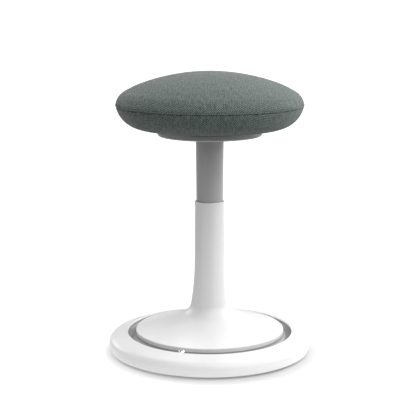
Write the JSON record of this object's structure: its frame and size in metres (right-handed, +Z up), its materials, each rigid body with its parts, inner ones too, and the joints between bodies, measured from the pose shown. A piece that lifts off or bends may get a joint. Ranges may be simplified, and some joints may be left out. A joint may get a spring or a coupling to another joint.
{
  "type": "wobble stool",
  "caption": "Round height-adjustable wobble stool with a cushioned seat, a lift-ring release under it, a slim stem and a disc base with a ball in an open ring track.",
  "frame": {"origin": "floor under the column axis, centre of the sole", "axes": "+Z up along the column; the picture looks along +Y, with +X to its right"},
  "size_m": [0.38, 0.38, 0.527],
  "materials": {
    "white_plastic": "satin",
    "track_grey": "satin",
    "dark_grey_plastic": "matte",
    "black_nylon": "matte",
    "rubber": "matte",
    "cast_iron": "matte",
    "bright_steel": "polished",
    "plain_steel": "satin",
    "black_steel": "satin",
    "plywood": "matte",
    "foam": "matte",
    "woven_fabric": "matte"
  },
  "bodies": {
    "base": {"rubber_sole": "rubber", "base_pan": "black_nylon", "ballast_ring": "cast_iron", "ballast_screws": "plain_steel", "column_hub": "cast_iron", "hub_screws": "plain_steel", "ball_track": "track_grey", "ring_cover": "white_plastic", "ring_cover_screws": "plain_steel", "stem_cover": "white_plastic", "stem_cover_screws": "plain_steel", "stand_tube": "black_steel", "tube_end_plate": "plain_steel", "guide_bush": "black_nylon", "lower_thrust_washer": "plain_steel", "thrust_ring": "plain_steel"},
    "spindle": {"piston_rod": "bright_steel", "piston": "black_nylon", "rod_clip": "plain_steel", "upper_thrust_washer": "plain_steel", "rubber_buffer": "rubber"},
    "seat": {"gas_cylinder": "black_steel", "cylinder_gland": "black_nylon", "column_sleeve": "dark_grey_plastic", "sleeve_screws": "plain_steel", "seat_carrier": "black_steel", "lever_pins": "plain_steel", "guide_screws": "plain_steel", "return_springs": "plain_steel", "carrier_screws": "plain_steel", "seat_pan": "black_nylon", "seat_board": "plywood", "board_screws": "plain_steel", "foam_core": "foam", "top_cover": "woven_fabric", "lower_cover": "woven_fabric", "seam_welt": "woven_fabric"},
    "release_ring": {"release_ring": "dark_grey_plastic"},
    "lever_1": {"release_lever_1": "plain_steel"},
    "lever_2": {"release_lever_2": "plain_steel"},
    "lever_3": {"release_lever_3": "plain_steel"},
    "valve_pin": {"valve_pin": "bright_steel"},
    "ball": {"track_ball": "bright_steel"}
  },
  "joints": [
    {"name": "seat_swivel", "type": "hinge", "parent": "base", "child": "spindle", "pos_m": [0, 0, 0], "axis": [0, 0, 1], "continuous": true},
    {"name": "seat_height", "type": "slide", "parent": "spindle", "child": "seat", "axis": [0, 0, 1], "range_m": [-0.075, 0.085]},
    {"name": "release_lift", "type": "slide", "parent": "seat", "child": "release_ring", "axis": [0, 0, 1], "range_m": [0, 0.004], "stiffness_N_per_m": 1500, "springref_m": -0.002, "deforming": ["return_springs"]},
    {"name": "lever_1_rock", "type": "hinge", "parent": "seat", "child": "lever_1", "pos_m": [0, 0.022, 0.4295], "axis": [1, 0, 0], "range_deg": [0, 6.2]},
    {"name": "lever_2_rock", "type": "hinge", "parent": "seat", "child": "lever_2", "pos_m": [-0.01905, -0.011, 0.4295], "axis": [-0.5, 0.866, 0], "range_deg": [0, 6.2]},
    {"name": "lever_3_rock", "type": "hinge", "parent": "seat", "child": "lever_3", "pos_m": [0.01905, -0.011, 0.4295], "axis": [-0.5, -0.866, 0], "range_deg": [0, 6.2]},
    {"name": "valve_press", "type": "slide", "parent": "seat", "child": "valve_pin", "axis": [0, 0, -1], "range_m": [0, 0.0021]},
    {"name": "ball_orbit", "type": "hinge", "parent": "base", "child": "ball", "pos_m": [0, 0, 0], "axis": [0, 0, 1], "continuous": true}
  ],
  "couplings": [
    {"joint": "lever_1_rock", "follows": "release_lift", "rad_per_m": 26.365},
    {"joint": "lever_2_rock", "follows": "release_lift", "rad_per_m": 26.365},
    {"joint": "lever_3_rock", "follows": "release_lift", "rad_per_m": 26.365},
    {"joint": "valve_press", "follows": "release_lift", "ratio": 0.5}
  ]
}
